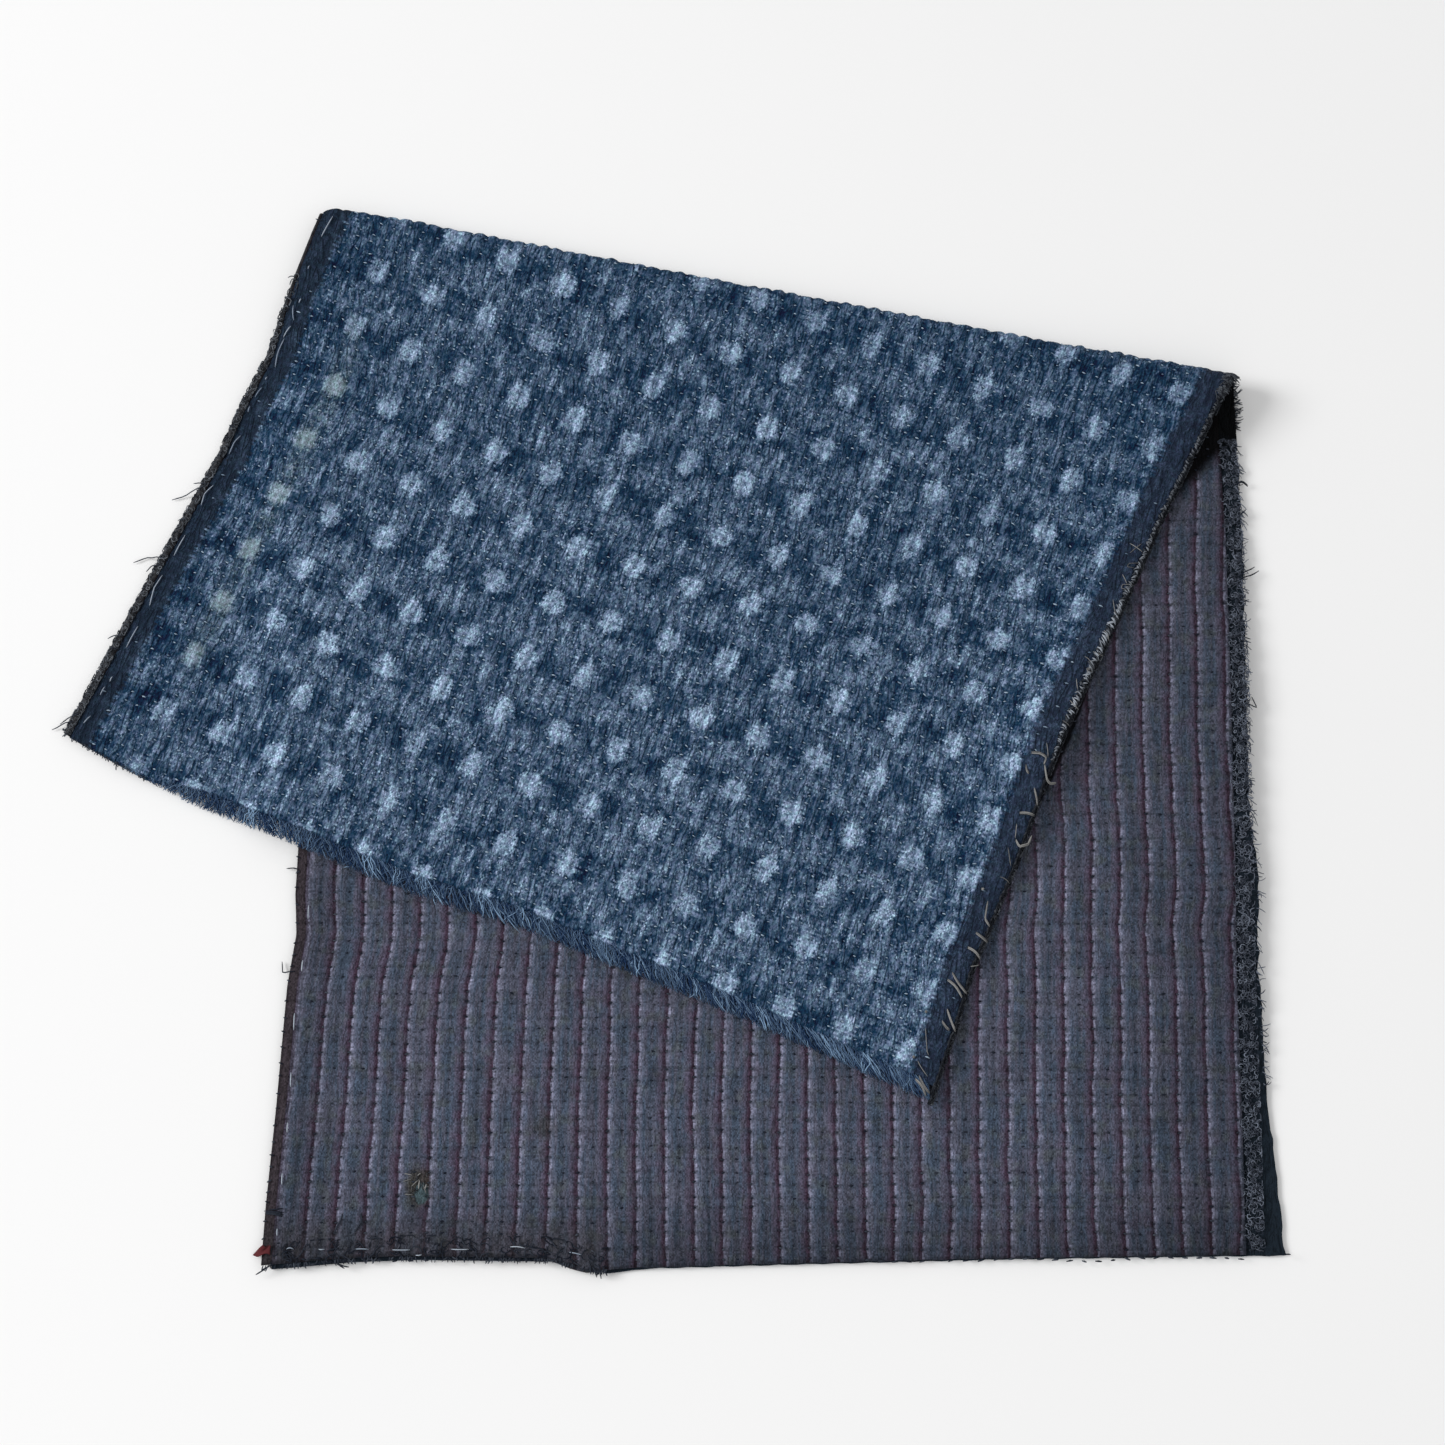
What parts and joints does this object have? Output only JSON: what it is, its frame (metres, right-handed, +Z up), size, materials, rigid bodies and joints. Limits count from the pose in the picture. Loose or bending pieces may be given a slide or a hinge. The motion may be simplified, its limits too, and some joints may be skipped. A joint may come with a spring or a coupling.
{
  "type": "folded quilted kasuri cloth",
  "caption": "Quilted indigo kasuri cloth with a striped lining, folded once askew and lying flat.",
  "frame": {"origin": "on the resting surface, under the middle of the folded cloth's box", "axes": "+X to the right across the cloth, +Y from its lower end towards the fold, +Z up"},
  "size_m": [0.429, 0.4046, 0.0151],
  "materials": {
    "kasuri_indigo": "matte handwoven cotton, indigo with pale resist-dyed dots and crosses, running-stitch quilting",
    "lining_slate": "matte slate-grey cotton with narrow purple and lilac stripes, running-stitch quilting",
    "end_yarn_blue": "loose blue cotton yarn ends",
    "side_yarn_grey": "curly blue-grey cotton yarn ends"
  },
  "bodies": {
    "root": {"kasuri_panel": "kasuri_indigo", "lining_panel": "lining_slate", "kasuri_end_fray": "end_yarn_blue", "lining_side_fray": "side_yarn_grey"}
  },
  "joints": []
}
